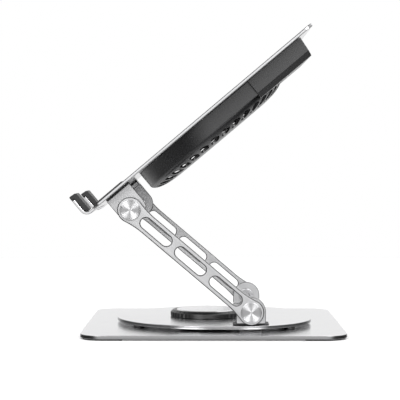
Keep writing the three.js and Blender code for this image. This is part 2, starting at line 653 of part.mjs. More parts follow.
// ---------- fan ----------
function makeFan(group) {
  const floor = FAN.bottom + FAN.wall + GAP;
  const top = floor + FAN_FRAME.thick;
  const seat = disc(FAN_FRAME.seat, floor, top, ROUND);
  const hoop = ring(FAN_FRAME.hoopInner, FAN_FRAME.hoopOuter, floor, top, FINE);
  const struts = [0, 1, 2].map((i) => {
    const half = FAN_FRAME.strut;
    const strut = box(FAN_FRAME.seat - 2, FAN_FRAME.hoopInner + 2, -half, half, floor, top);
    return strut.rotateZ((i * 4 * QUARTER) / 3);
  });
  add(group, 'fan_frame', join(seat, hoop, ...struts).translate([0, FAN.along, 0]), darkPlastic);
  const stator = ring(MOTOR.bore, MOTOR.stator, MOTOR.low, MOTOR.high, ROUND);
  add(group, 'motor_stator', join(stator).translate([0, FAN.along, 0]), steel);
}

function makeImpeller(group) {
  const profile = [[0, WHEEL.roof], [WHEEL.inner, WHEEL.roof], [WHEEL.inner, WHEEL.low],
    [WHEEL.outer, WHEEL.low], [WHEEL.outer, WHEEL.top], [0, WHEEL.top]];
  const cup = turned(profile, ROUND);
  const shaft = disc(MOTOR.shaft, MOTOR.low + 1, WHEEL.roof + 1, COARSE);
  const blades = [];
  for (let i = 0; i < BLADE.count; i += 1) {
    const blade = box(WHEEL.outer - 0.8, BLADE.tip, -BLADE.half, BLADE.half, -BLADE.thick, BLADE.thick);
    blade.rotateX(rad(BLADE.pitch)).translate(0, 0, BLADE.middle);
    blades.push(blade.rotateZ((i * 4 * QUARTER) / BLADE.count));
  }
  add(group, 'impeller', join(cup, shaft, ...blades).translate([0, FAN.along, 0]), darkPlastic);
}

// ---------- electronics ----------
function buttonShape(radius) {
  return outline(arc(BUTTON.x, BUTTON.z, radius, 0, 3.75 * QUARTER, 15));
}

function rearWallAt(z) {
  return BOX.rear - REAR_DRAFT * (HOUSING_TOP - z) / (HOUSING_TOP - BOX.bottom);
}

function makeElectronics(group) {
  const board = box(-BOARD.half, BOARD.half, BOARD.front, BOARD.rear, BOARD.low, BOARD.low + BOARD.thick);
  const chip = box(-6, 2, 199, 207, BOARD.low + 1, BOARD.low + 3.2);
  const coil = box(8, 15, 199, 206, BOARD.low + 1, BOARD.low + 5);
  const headerBlock = box(-20, -12, 197.5, 201.5, BOARD.low + 1, BOARD.low + 6);
  const legs = [];
  for (const x of [-BOARD.legX, BOARD.legX]) {
    for (const y of [BOARD.front + BOARD.legInset, BOARD.rear - BOARD.legInset]) {
      legs.push(disc(1.6, BOX.bottom + BOX.wall + GAP, BOARD.low + 0.5, COARSE).translate(x, y, 0));
    }
  }
  add(group, 'circuit_board', join(board, chip, coil, headerBlock, ...legs), boardGreen);
  const middle = (SOCKET.z0 + SOCKET.z1) / 2;
  const face = rearWallAt(middle) - 0.2;
  const deep = face - SOCKET.mouth;
  const wall = SOCKET.wall;
  const body = box(SOCKET.x0, SOCKET.x1, SOCKET.front, face, SOCKET.z0, SOCKET.z1);
  const mouth = box(SOCKET.x0 + wall, SOCKET.x1 - wall, deep, 240, SOCKET.z0 + wall, SOCKET.z1 - wall);
  const tongue = box(SOCKET.x0 + 1.4, SOCKET.x1 - 1.4, deep - 0.5, face - 1.2,
    middle - SOCKET.tongue, middle + SOCKET.tongue);
  add(group, 'power_socket', cut(join(body), mouth).add(solidOf(tongue)), steel);
}

function makeButton(group) {
  const face = rearWallAt(BUTTON.z) + BUTTON.proud;
  const back = rearWallAt(BUTTON.z) - BUTTON.depth;
  const cap = pushY(buttonShape(BUTTON.radius), back, face);
  add(group, 'speed_button', join(cap), darkPlastic);
}

// ---------- assembly ----------
const stand = new THREE.Group();
makeBase(stand);
makeBearing(stand);
makeTurntable(stand);
makeArms(stand);
makeUpperPins(stand);

const platform = new THREE.Group();
platform.position.set(0, upperHinge().y, upperHinge().z);
platform.rotation.x = rad(TILT);
makePlatform(platform);
makeImpeller(platform);
makeButton(platform);
stand.add(platform);

export default stand;
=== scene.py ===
"""A folding laptop stand on a swivel base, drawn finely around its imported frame.

Sizes are in millimetres in the stand's own frame: +Z up, -Y towards the user, +X across along the hinges.
"""

import json
import math

import bmesh
import bpy
from mathutils import Matrix, Vector
from mathutils.geometry import tessellate_polygon


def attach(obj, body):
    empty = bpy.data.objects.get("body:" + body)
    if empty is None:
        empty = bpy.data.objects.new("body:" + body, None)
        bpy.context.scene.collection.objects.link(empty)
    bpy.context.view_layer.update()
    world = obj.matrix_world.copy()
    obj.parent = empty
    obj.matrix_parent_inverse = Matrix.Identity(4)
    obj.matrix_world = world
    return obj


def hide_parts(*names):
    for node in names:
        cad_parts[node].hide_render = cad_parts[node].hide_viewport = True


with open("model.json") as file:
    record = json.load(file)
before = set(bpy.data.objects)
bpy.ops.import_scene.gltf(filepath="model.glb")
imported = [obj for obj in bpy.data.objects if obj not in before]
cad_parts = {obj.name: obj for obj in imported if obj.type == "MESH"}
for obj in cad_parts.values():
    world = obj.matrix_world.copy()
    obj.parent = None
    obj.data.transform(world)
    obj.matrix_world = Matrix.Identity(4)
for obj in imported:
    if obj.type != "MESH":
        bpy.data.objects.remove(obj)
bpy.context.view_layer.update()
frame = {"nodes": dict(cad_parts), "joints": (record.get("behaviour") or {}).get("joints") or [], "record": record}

MM = 0.001
SIDES = (("left", -1), ("right", 1))
ENDS = (("front", -1), ("rear", 1))
QUARTER = math.pi / 2

JOINTS = {joint["name"]: joint for joint in frame["joints"]}
BODY_OF = {node: body for body, nodes in frame["record"]["behaviour"]["bodies"].items() for node in nodes}
SLOT_OF = {part["node"]: part["material_slot"] for part in frame["record"]["subparts"]}

LOWER = Vector(JOINTS["arm_lift"]["pos_m"]) / MM
UPPER = Vector(JOINTS["upper_hinge_turn"]["pos_m"]) / MM
FAN_AT = Vector(JOINTS["fan_spin"]["pos_m"]) / MM
PLATE_NORMAL = Vector(JOINTS["fan_spin"]["axis"])

# ---------- sizes that the frame doesn't state ----------
BASE = {"corner": 20.0, "bore": 6.0, "edge": 0.6}
FOOT = {"width": 8.0, "reach": 37.0, "inset": 2.0, "corner": 1.2}
TURNTABLE = {"rear_corner": 72.0, "wall": 2.5, "sheet": 1.6, "hole": 27.5, "press": 0.7, "edge": 0.35}
RACE_BORE = 14.0
HUB = {
    "ledge": 22.0, "ledge_thick": 1.5, "cap": 29.8, "shoulder": 2.2, "bevel": 2.8, "groove": 2.2,
    "ribs": 38, "rib_depth": 0.9, "rib_sector": math.radians(62),
}
PIN = {"radius": 4.0, "bore": 4.35, "head": 7.0, "head_depth": 2.4, "socket": 3.0, "socket_depth": 1.3}
ARM = {"half": 9.0, "boss": 11.7, "fillet": 80.0, "sink": 7.8, "sink_depth": 3.1, "edge": 0.8}
ARM_SLOT = {"half": 5.15, "spans": ((13.6, 48.2), (54.8, 89.1), (96.1, 131.8))}
CAP = {"radius": 9.4, "groove": 8.0, "groove_half": 0.18, "groove_depth": 0.22, "dish": 0.25}
BRACKET = {
    "inner": 80.0, "ear": 5.4, "foot": 4.0, "foot_inner": 64.0, "half": 13.5, "corner": 0.6, "edge": 0.5,
    "stud_hole": 2.15, "stud_half": 7.5,
}
FLANGE_RADIUS = 13.25
PLATE = {"corner": 8.0, "thick": 3.0, "front": -25.0, "edge": 0.75}
HOOK = {
    "root": -23.0, "inner": 47.0, "outer": 76.0, "face": -36.8, "thick": 2.6, "bend": 7.2, "tip": 40.7,
    "edge": 0.5,
}
LIP_PAD = {"tip": 45.2, "inner": -29.2, "lift": 0.8, "trim": 0.5}
GRILLE = {"radius": 62.0, "pitch": 12.0, "half": 2.6}
SCREW = {
    "ring": 77.0, "box_x": 76.0, "box_y": 208.0, "sink": 3.3, "depth": 1.9, "head": 3.0, "shaft": 1.9,
    "length": 6, "below": 0.4, "socket": 1.35, "socket_depth": 1.4,
}
SHROUD = {"radius": 82.0, "wall": 2.0, "crease": 5.5, "flat": 50.0, "bottom": -4.0}
VENT = {"count": 36, "inner": 65.0, "outer": 79.0, "narrow": 3.9, "wide": 5.2, "corner": 4.2, "slant": 18.0}
BOX = {"crease": 6.5, "bottom": 1.4, "chamfer": 4.5, "wall": 2.0, "draft": 2.2}
SOCKET = {"wall": 0.4, "depth": 6.5, "tongue_half": 3.1, "tongue_thick": 0.35}
WHEEL = {"hub": 18.5, "wall": 2.1, "shaft": 1.5, "low": 1.6, "roof": 12.0, "blades": 9}
BLADE = {
    "tip": 57.0, "root": 1.2, "middle": 7.6, "rise": 4.4, "camber": 0.7, "half_chord": math.radians(17.5),
    "pitch": math.radians(34.0), "sweep": math.radians(24.0),
}
GAP = 0.3

# ---------- studio ----------
FLOOR_REACH = 1.0
PAPER_TONE = 0.95
ROOM_LIGHT = 1.0
FRONT_LIGHT = 0.1          # added to the room on the camera's side
CEILING_SHADE = 0.45       # how much darker the room is overhead
FLAG_SHADE = 0.95          # how much light the two black flags take
GROUND_LIGHT = 0.06
FLOOR_LIGHT = 0.5
BACK_LIGHT = 0.7
LAMP_AIM = Vector((0, 0, 0.12))
LAMPS = (                  # name, place, size, power
    ("key", (1.6, -0.8, 0.95), 0.9, 20.0),
    ("fill", (1.6, 0.8, 0.95), 0.9, 17.0),
    ("top", (-0.4, 0.0, 1.8), 3.0, 30.0),
)
CAMERA = {
    "place": (1.400, 0.0006, 0.160), "turn": math.radians(0.298), "pitch": math.radians(1.532),
    "lens": 129.6, "sensor": 36.0,
}


# ---------- outlines ----------
def arc(cx, cy, radius, start, end, steps):
    points = []
    for i in range(steps + 1):
        angle = start + (end - start) * i / steps
        points.append((cx + radius * math.cos(angle), cy + radius * math.sin(angle)))
    return points


def circle(radius, steps=48, cx=0.0, cy=0.0):
    return arc(cx, cy, radius, 0, 4 * QUARTER, steps)[:-1]


def rounded_rectangle(x0, x1, y0, y1, radius, steps=8):
    return (
        arc(x1 - radius, y0 + radius, radius, -QUARTER, 0, steps)
        + arc(x1 - radius, y1 - radius, radius, 0, QUARTER, steps)
        + arc(x0 + radius, y1 - radius, radius, QUARTER, 2 * QUARTER, steps)
        + arc(x0 + radius, y0 + radius, radius, 2 * QUARTER, 3 * QUARTER, steps)
    )


def stadium(x0, x1, half, steps=10):
    """A slot with round ends that runs from x0 to x1 about y 0."""
    right = arc(x1 - half, 0, half, -QUARTER, QUARTER, steps)
    left = arc(x0 + half, 0, half, QUARTER, 3 * QUARTER, steps)
    return right + left


def moved(points, dx, dy):
    return [(x + dx, y + dy) for x, y in points]


def soften(points, radius, steps=4, closed=True):
    """The same outline with each corner rounded. A radius may be one number or one for each corner."""
    made = []
    count = len(points)
    radii = radius if isinstance(radius, (list, tuple)) else [radius] * count
    for i, point in enumerate(points):
        here = Vector(point)
        ends = (not closed) and i in (0, count - 1)
        before, after = Vector(points[i - 1]) - here, Vector(points[(i + 1) % count]) - here
        if ends or radii[i] <= 0 or before.length < 1e-6 or after.length < 1e-6:
            made.append(tuple(here))
            continue
        one, two = before.normalized(), after.normalized()
        half = one.angle(two) / 2
        if half > QUARTER - 0.03:
            made.append(tuple(here))
            continue
        reach = min(radii[i] / math.tan(half), 0.46 * before.length, 0.46 * after.length)
        start, end = here + one * reach, here + two * reach
        for k in range(steps + 1):
            t = k / steps
            curve = start * (1 - t) ** 2 + here * 2 * t * (1 - t) + end * t * t
            made.append(tuple(curve))
    return made


def area(points):
    return sum(x0 * y1 - x1 * y0 for (x0, y0), (x1, y1) in zip(points, points[1:] + points[:1])) / 2


def wound(points, positive):
    """The points in anticlockwise order where positive, or else clockwise."""
    return points if (area(points) > 0) == positive else points[::-1]


def inset(points, distance):
    """Each point moved to the left of the way the outline runs, so that its edges move by the distance."""
    if abs(distance) < 1e-9:
        return list(points)
    made = []
    for i, point in enumerate(points):
        here = Vector(point)
        before = (here - Vector(points[i - 1])).normalized()
        after = (Vector(points[(i + 1) % len(points)]) - here).normalized()
        left = Vector((-before.y - after.y, before.x + after.x))
        if left.length < 1e-6:
            left = Vector((-before.y, before.x))
        left.normalize()
        stretch = max(0.6, left.dot(Vector((-before.y, before.x))))
        made.append(tuple(here + left * (distance / stretch)))
    return made


# ---------- solids, as lists of vertices and faces ----------
def edge_rows(z0, z1, edge, steps=3):
    """Rows of (inset, height) up a wall with both its edges rounded."""
    rows = []
    for i in range(steps + 1):
        turn = QUARTER * i / steps
        rows.append((edge * (1 - math.sin(turn)), z0 + edge * (1 - math.cos(turn))))
    for i in range(steps + 1):
        turn = QUARTER * i / steps
        rows.append((edge * (1 - math.cos(turn)), z1 - edge * (1 - math.sin(turn))))
    return rows


def walled(loops):
    """A closed solid between two flat ends. Each loop is (outline, rows of (inset, height)), the outer one
    first, and every loop's first rows share one end and their last rows the other."""
    verts, faces, ends = [], [], ([], [])
    for number, (outline, rows) in enumerate(loops):
        line = wound(list(outline), number == 0)
        count = len(line)
        start = len(verts)
        for distance, height in rows:
            verts += [(x, y, height) for x, y in inset(line, distance)]
        for row in range(len(rows) - 1):
            low, high = start + row * count, start + (row + 1) * count
            for i in range(count):
                j = (i + 1) % count
                faces.append((low + i, low + j, high + j, high + i))
        ends[0].append(list(range(start, start + count)))
        ends[1].append(list(range(len(verts) - count, len(verts))))
    for rings in ends:
        order = [index for ring in rings for index in ring]
        shapes = [[Vector(verts[index]) for index in ring] for ring in rings]
        faces += [tuple(order[k] for k in triangle) for triangle in tessellate_polygon(shapes)]
    return verts, faces


def prism(outline, z0, z1, edge=0.4, holes=(), steps=3):
    rows = edge_rows(z0, z1, edge, steps)
    return walled([(outline, rows)] + [(hole, rows) for hole in holes])


def turned(profile, segments=64, radius_at=None):
    """A profile of (radius, height) points turned about Z. It closes on itself unless it starts on the axis.
    radius_at(radius, height, angle) may shape the radius as it goes round."""
    verts, faces = [], []
    on_axis = profile[0][0] < 1e-9
    rings = []
    for radius, height in profile:
        if radius < 1e-9:
            rings.append([len(verts)] * segments)
            verts.append((0.0, 0.0, height))
            continue
        rings.append(list(range(len(verts), len(verts) + segments)))
        for i in range(segments):
            angle = 4 * QUARTER * i / segments
            r = radius_at(radius, height, angle) if radius_at else radius
            verts.append((r * math.cos(angle), r * math.sin(angle), height))
    pairs = list(zip(rings, rings[1:]))
    if not on_axis:
        pairs.append((rings[-1], rings[0]))
    for low, high in pairs:
        for i in range(segments):
            j = (i + 1) % segments
            corners = [low[i], low[j], high[j], high[i]]
            face = [c for k, c in enumerate(corners) if c != corners[k - 1]]
            if len(set(face)) > 2:
                faces.append(tuple(face))
    return verts, faces


def shifted(solid, dx=0.0, dy=0.0, dz=0.0):
    verts, faces = solid
    return [(x + dx, y + dy, z + dz) for x, y, z in verts], faces


def joined(*solids):
    verts, faces = [], []
    for some_verts, some_faces in solids:
        start = len(verts)
        verts += some_verts
        faces += [tuple(index + start for index in face) for face in some_faces]
    return verts, faces


# ---------- places: from a piece's own millimetres to the row frame in metres ----------
def basis(x, y, z, origin):
    turn = Matrix((x, y, z)).transposed().to_4x4()
    return Matrix.Scale(MM, 4) @ Matrix.Translation(origin) @ turn


X, Y, Z = Vector((1, 0, 0)), Vector((0, 1, 0)), Vector((0, 0, 1))
ORIGIN = Vector((0, 0, 0))
UPRIGHT = basis(X, Y, Z, ORIGIN)
ACROSS = basis(Y, Z, X, ORIGIN)                        # drawn in the Y, Z plane and built up along X
PLATE_ALONG = PLATE_NORMAL.cross(X)
PLATFORM = basis(X, PLATE_ALONG, PLATE_NORMAL, UPPER)
PLATFORM_ACROSS = basis(PLATE_ALONG, PLATE_NORMAL, X, UPPER)
FAN = basis(X, PLATE_ALONG, PLATE_NORMAL, FAN_AT)
ARM_ALONG = (LOWER - UPPER).normalized()
ARMS = basis(ARM_ALONG, X.cross(ARM_ALONG), X, UPPER)
ARM_LENGTH = (LOWER - UPPER).length
FAN_ALONG = (FAN_AT - UPPER).length


def hinge_place(centre, side):
    """Z out of the stand's side, along the hinge axis."""
    outward = X * side
    return basis(outward.cross(Z) * -1, Z, outward, Vector((0, centre.y, centre.z)))


def span(node, place=UPRIGHT):
    """A CAD node's lowest and highest corners in a place's own millimetres."""
    back = place.inverted()
    points = [back @ vertex.co for vertex in frame["nodes"][node].data.vertices]
    low = Vector([min(p[k] for p in points) for k in range(3)])
    high = Vector([max(p[k] for p in points) for k in range(3)])
    return low, high


# ---------- objects ----------
def mesh_object(name, solid, place=UPRIGHT, mirror=False, smooth=32):
    verts, faces = solid
    mesh = bpy.data.meshes.new(name)
    mesh.from_pydata(verts, [], faces)
    mesh.transform(Matrix.Scale(-1, 4, X) @ place if mirror else place)
    tidy_mesh(mesh, smooth)
    made = bpy.data.objects.new(name, mesh)
    bpy.context.scene.collection.objects.link(made)
    return made


def tidy_mesh(mesh, smooth=32):
    work = bmesh.new()
    work.from_mesh(mesh)
    bmesh.ops.remove_doubles(work, verts=work.verts, dist=2e-6)
    bmesh.ops.dissolve_degenerate(work, edges=work.edges, dist=1e-6)
    bmesh.ops.recalc_face_normals(work, faces=work.faces)
    work.to_mesh(mesh)
    work.free()
    mesh.shade_smooth()
    mesh.set_sharp_from_angle(angle=math.radians(smooth))


def boolean(target, others, operation, smooth=32):
    """Applies one exact boolean of the other objects to the target and removes them."""
    for other in others:
        step = target.modifiers.new("Boolean", "BOOLEAN")
        step.operation = operation
        step.solver = "EXACT"
        step.object = other
    bpy.context.view_layer.update()
    graph = bpy.context.evaluated_depsgraph_get()
    mesh = bpy.data.meshes.new_from_object(target.evaluated_get(graph))
    target.modifiers.clear()
    target.data = mesh
    for other in others:
        bpy.data.objects.remove(other)
    tidy_mesh(mesh, smooth)
    return target


def finish_piece(piece, material, weighted=True):
    piece.data.materials.clear()
    piece.data.materials.append(material)
    if weighted:
        normals = piece.modifiers.new("Normals", "WEIGHTED_NORMAL")
        normals.keep_sharp = True
    return piece


def paint_dark_reflections(piece, finish, chosen):
    """Paints the faces that the test picks by their normals a darker colour: a painted dark reflection along the
    stand's edges and walls. The real edges are probably plain aluminium."""
    piece.data.materials.append(FINISH[finish])
    for face in piece.data.polygons:
        if chosen(face.normal):
            face.material_index = 1


def is_upright(normal):
    return abs(normal.z) < 0.6


def is_side_rounding(normal):
    return 0.15 < abs(normal.x) < 0.97


def is_top_rounding(normal):
    return is_side_rounding(normal) and normal.dot(PLATE_NORMAL) > 0.15


def stand_for(node, piece, weighted=True):
    """The piece takes a CAD node's body, place in the assembly, slot and finish."""
    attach(piece, BODY_OF[node])
    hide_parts(node)
    return finish_piece(piece, FINISH[SLOT_OF[node]], weighted)


def fine(node, solid, place=UPRIGHT, mirror=False, smooth=32):
    return stand_for(node, mesh_object(node + "_fine", solid, place, mirror, smooth))


# ---------- materials ----------
class Nodes:
    """A small helper that adds and links a material's nodes."""

    def __init__(self, name, **values):
        self.material = bpy.data.materials.new(name)
        self.material.use_nodes = True
        self.tree = self.material.node_tree
        self.shader = self.tree.nodes["Principled BSDF"]
        for socket, value in values.items():
            self.shader.inputs[socket.replace("_", " ")].default_value = value
        self.where = self.add("ShaderNodeTexCoord").outputs["Object"]

    def add(self, kind, **settings):
        node = self.tree.nodes.new(kind)
        for key, value in settings.items():
            setattr(node, key, value)
        return node

    def link(self, source, target):
        self.tree.links.new(source, target)

    def drive(self, socket, source):
        self.link(source, self.shader.inputs[socket])

    def noise(self, scale, detail=3.0, roughness=0.55, stretch=None):
        """Noise with features about 1000 / scale millimetres across. stretch pulls it out along an axis."""
        texture = self.add("ShaderNodeTexNoise")
        texture.inputs["Scale"].default_value = scale
        texture.inputs["Detail"].default_value = detail
        texture.inputs["Roughness"].default_value = roughness
        where = self.where
        if stretch:
            mapping = self.add("ShaderNodeMapping")
            mapping.inputs["Scale"].default_value = stretch
            self.link(where, mapping.inputs["Vector"])
            where = mapping.outputs["Vector"]
        self.link(where, texture.inputs["Vector"])
        return texture.outputs["Fac"]

    def spread(self, source, low, high, start=0.3, end=0.7):
        """The source remapped to run from low to high."""
        node = self.add("ShaderNodeMapRange")
        for socket, value in (("From Min", start), ("From Max", end), ("To Min", low), ("To Max", high)):
            node.inputs[socket].default_value = value
        self.link(source, node.inputs["Value"])
        return node.outputs["Result"]

    def math(self, operation, one, two=None):
        node = self.add("ShaderNodeMath", operation=operation)
        for socket, value in zip(node.inputs, (one, two)):
            if value is None:
                continue
            if isinstance(value, (int, float)):
                socket.default_value = value
            else:
                self.link(value, socket)
        return node.outputs["Value"]

    def tint(self, factor, low, high):
        """A colour mixed from low to high by the factor."""
        mix = self.add("ShaderNodeMix", data_type="RGBA")
        mix.inputs[6].default_value = (*low, 1)
        mix.inputs[7].default_value = (*high, 1)
        self.link(factor, mix.inputs[0])
        return mix.outputs[2]

    def edges(self, radius):
        """Nearly 0 on flat faces and up to 1 on worn edges."""
        bevel = self.add("ShaderNodeBevel", samples=8)
        bevel.inputs["Radius"].default_value = radius
        plain = self.add("ShaderNodeNewGeometry")
        dot = self.add("ShaderNodeVectorMath", operation="DOT_PRODUCT")
        self.link(bevel.outputs["Normal"], dot.inputs[0])
        self.link(plain.outputs["Normal"], dot.inputs[1])
        return self.spread(dot.outputs["Value"], 1.0, 0.0, 0.86, 0.995)

    def bump(self, height, strength, distance):
        node = self.add("ShaderNodeBump")
        node.inputs["Strength"].default_value = strength
        node.inputs["Distance"].default_value = distance
        self.link(height, node.inputs["Height"])
        self.drive("Normal", node.outputs["Normal"])


def aluminium(name, shade, rough, blast, metal=1.0):
    """Bead-blasted, anodised aluminium: a fine grain and faint clouding in both its colour and its gloss."""
    made = Nodes(name, Metallic=metal)
    tone = (shade, shade, shade * 1.012)
    clouds = made.noise(38, 2)
    grain = made.noise(2600, 2)
    mixed = made.math("ADD", made.spread(clouds, -0.3, 0.3), made.spread(grain, 0.2, 0.8))
    base = made.tint(mixed, [v * 0.96 for v in tone], [v * 1.03 for v in tone])
    made.drive("Base Color", base)
    speckle = made.spread(grain, rough - 0.03, rough + 0.03)
    patch = made.spread(clouds, -0.02, 0.02)
    made.drive("Roughness", made.math("ADD", speckle, patch))
    made.bump(grain, blast, 0.00002)
    return made.material


def spun_aluminium(name, shade, axis):
    """A face turned on a lathe: rings round the axis, and highlights that fan out from its centre."""
    made = Nodes(name, Metallic=1.0, Anisotropic=0.95, Anisotropic_Rotation=0.25)
    tone = (shade, shade, shade * 1.012)
    tangent = made.add("ShaderNodeTangent", direction_type="RADIAL", axis=axis)
    made.drive("Tangent", tangent.outputs["Tangent"])
    fleck = made.noise(900, 3)
    base = made.tint(made.spread(fleck, 0, 1), [v * 0.94 for v in tone], tone)
    made.drive("Base Color", base)
    made.drive("Roughness", made.spread(fleck, 0.36, 0.42))
    made.bump(made.noise(3200, 1), 0.12, 0.00002)
    return made.material


def steel(name, tone, rough):
    made = Nodes(name, Metallic=1.0)
    brushed = made.noise(420, 3, stretch=(1, 1, 9))
    fine_grain = made.noise(2200, 2)
    base = made.tint(made.spread(brushed, 0, 1), [v * 0.86 for v in tone], tone)
    made.drive("Base Color", base)
    made.drive("Roughness", made.spread(brushed, rough - 0.06, rough + 0.08))
    made.bump(fine_grain, 0.15, 0.00003)
    return made.material


def plastic(name, tone, rough, grain_scale, grain, rub):
    """Moulded plastic with a fine spark-eroded grain, faint clouding, and edges rubbed a little shinier."""
    made = Nodes(name, Specular_IOR_Level=0.75)
    clouds = made.noise(30, 2)
    texture = made.noise(grain_scale, 3, 0.6)
    base = made.tint(made.spread(clouds, 0, 1), [v * 0.85 for v in tone], [v * 1.12 for v in tone])
    edge = made.math("MULTIPLY", made.edges(0.0007), rub)
    mix = made.add("ShaderNodeMix", data_type="RGBA")
    made.link(edge, mix.inputs[0])
    made.link(base, mix.inputs[6])
    mix.inputs[7].default_value = (*[v * 2.2 for v in tone], 1)
    made.drive("Base Color", mix.outputs[2])
    matt = made.spread(texture, rough - 0.04, rough + 0.06)
    rubbed = made.math("SUBTRACT", matt, made.math("MULTIPLY", edge, 0.1))
    made.drive("Roughness", rubbed)
    made.bump(texture, grain, 0.00002)
    return made.material


def silicone(name, tone):
    """Matt silicone with a soft bloom of dust."""
    made = Nodes(name, Sheen_Weight=0.08)
    dust = made.noise(220, 4, 0.65)
    skin = made.noise(1500, 2)
    base = made.tint(made.spread(dust, 0, 1, 0.45, 0.75), tone, [v * 2.0 for v in tone])
    made.drive("Base Color", base)
    made.drive("Roughness", made.spread(dust, 0.52, 0.66))
    made.bump(skin, 0.25, 0.00005)
    return made.material


def solder_mask(name):
    """A green board with darker copper tracks under the lacquer."""
    made = Nodes(name, Roughness=0.32)
    tracks = made.add("ShaderNodeTexBrick")
    tracks.inputs["Scale"].default_value = 240
    tracks.inputs["Mortar Size"].default_value = 0.06
    tracks.inputs["Color1"].default_value = (0.012, 0.11, 0.045, 1)
    tracks.inputs["Color2"].default_value = (0.016, 0.13, 0.055, 1)
    tracks.inputs["Mortar"].default_value = (0.03, 0.2, 0.09, 1)
    made.link(made.where, tracks.inputs["Vector"])
    made.drive("Base Color", tracks.outputs["Color"])
    made.bump(made.noise(500, 2), 0.1, 0.00003)
    return made.material


def make_finishes():
    return {
        "anodised_aluminium": aluminium("AnodisedAluminium", 0.68, 0.20, 0.12),
        "arm_aluminium": aluminium("ArmAluminium", 0.50, 0.36, 0.15, 0.75),
        # Painted dark reflection: about half as bright as the plain aluminium, put on the upright walls of the
        # base and turntable plates.
        "painted_dark_wall": aluminium("PaintedDarkWall", 0.36, 0.24, 0.10),
        # Painted dark reflection: near-black aluminium put on the rounded side edges of the brackets, flanges and
        # arms and on the platform plate's upper rounded edges.
        "painted_dark_line": aluminium("PaintedDarkLine", 0.07, 0.30, 0.10),
        "turned_aluminium": spun_aluminium("SpunAluminium", 0.62, "X"),
        "steel": steel("ZincSteel", (0.56, 0.56, 0.57), 0.30),
        "black_steel": steel("BlackenedSteel", (0.05, 0.05, 0.052), 0.36),
        "black_plastic": plastic("HousingPlastic", (0.012, 0.012, 0.013), 0.30, 1500, 0.04, 0.35),
        "dark_plastic": plastic("BlackNylon", (0.008, 0.008, 0.0085), 0.30, 1900, 0.04, 0.35),
        "silicone": silicone("BlackSilicone", (0.007, 0.007, 0.0073)),
        "circuit_board": solder_mask("SolderMask"),
    }


FINISH = make_finishes()


# ---------- base ----------
def make_base():
    low, high = span("base_plate")
    outline = rounded_rectangle(low.x, high.x, low.y, high.y, BASE["corner"], 16)
    plate = fine("base_plate", prism(outline, low.z, high.z, BASE["edge"], [circle(BASE["bore"], 32)], 4))
    # The plate's upright walls get a painted dark reflection.
    paint_dark_reflections(plate, "painted_dark_wall", is_upright)
    for end, sy in ENDS:
        for side, sx in SIDES:
            node = f"foot_{end}_{side}"
            fine(node, prism(foot_outline(low, high, sx, sy), 0, span(node)[1].z, 0.3))


def foot_outline(low, high, sx, sy):
    """An angle strip that follows one corner of the base plate."""
    centre_y = (low.y + high.y) / 2
    edge = (high.x - low.x) / 2 - FOOT["inset"]
    outer = BASE["corner"] - FOOT["inset"]
    inner = outer - FOOT["width"]
    middle, start = edge - outer, edge - FOOT["reach"]
    points = [(edge - FOOT["width"], start), (edge, start)]
    points += arc(middle, middle, outer, 0, QUARTER, 12)
    points += [(start, edge), (start, edge - FOOT["width"])]
    points += arc(middle, middle, inner, QUARTER, 0, 12)
    radii = ([FOOT["corner"]] * 2 + [0] * 13) * 2
    return [(x * sx, y * sy + centre_y) for x, y in soften(points, radii)]


# ---------- turntable ----------
def turntable_outline(low, high):
    """Half round towards the user, a rounded square behind, as the CAD plate is."""
    centre_y = low.y + high.x
    corner = TURNTABLE["rear_corner"]
    cx, cy = high.x - corner, high.y - corner
    return (
        arc(0, centre_y, high.x, -2 * QUARTER, 0, 72)
        + arc(cx, cy, corner, 0, QUARTER, 30)
        + arc(-cx, cy, corner, QUARTER, 2 * QUARTER, 30)
    )


def make_turntable():
    low, high = span("turntable_plate")
    wall, press, edge = TURNTABLE["wall"], TURNTABLE["press"], TURNTABLE["edge"]
    under = high.z - TURNTABLE["sheet"]
    rows = [
        (wall + 0.5, under), (wall, under - 0.5), (wall, low.z + edge), (wall - edge, low.z), (edge, low.z),
        (0, low.z + edge),
    ]
    for i in range(7):
        turn = QUARTER * i / 6
        rows.append((press * (1 - math.cos(turn)), high.z - press * (1 - math.sin(turn))))
    hole_rows = [(0.2, under), (0, under + 0.2), (0, high.z - 0.3), (0.3, high.z)]
    loops = [(turntable_outline(low, high), rows), (circle(TURNTABLE["hole"], 72), hole_rows)]
    # The turntable plate's upright walls get a painted dark reflection.
    paint_dark_reflections(fine("turntable_plate", walled(loops), smooth=50), "painted_dark_wall", is_upright)
    for end, _ in ENDS:
        for side, _ in SIDES:
            node = f"glide_pad_{end}_{side}"
            low, high = span(node)
            middle = (low + high) / 2
            radius = (high.x - low.x) / 2
            profile = [(0, low.z), (radius, low.z), (radius, high.z), (0, high.z)]
            pad = turned(soften(profile, 0.4, closed=False), 40)
            fine(node, shifted(pad, middle.x, middle.y))
    make_bearing()
    make_hub()


def make_bearing():
    for node in ("bearing_lower_race", "bearing_upper_race"):
        low, high = span(node)
        profile = [(RACE_BORE, low.z), (high.x, low.z), (high.x, high.z), (RACE_BORE, high.z)]
        fine(node, turned(soften(profile, 0.35), 80))


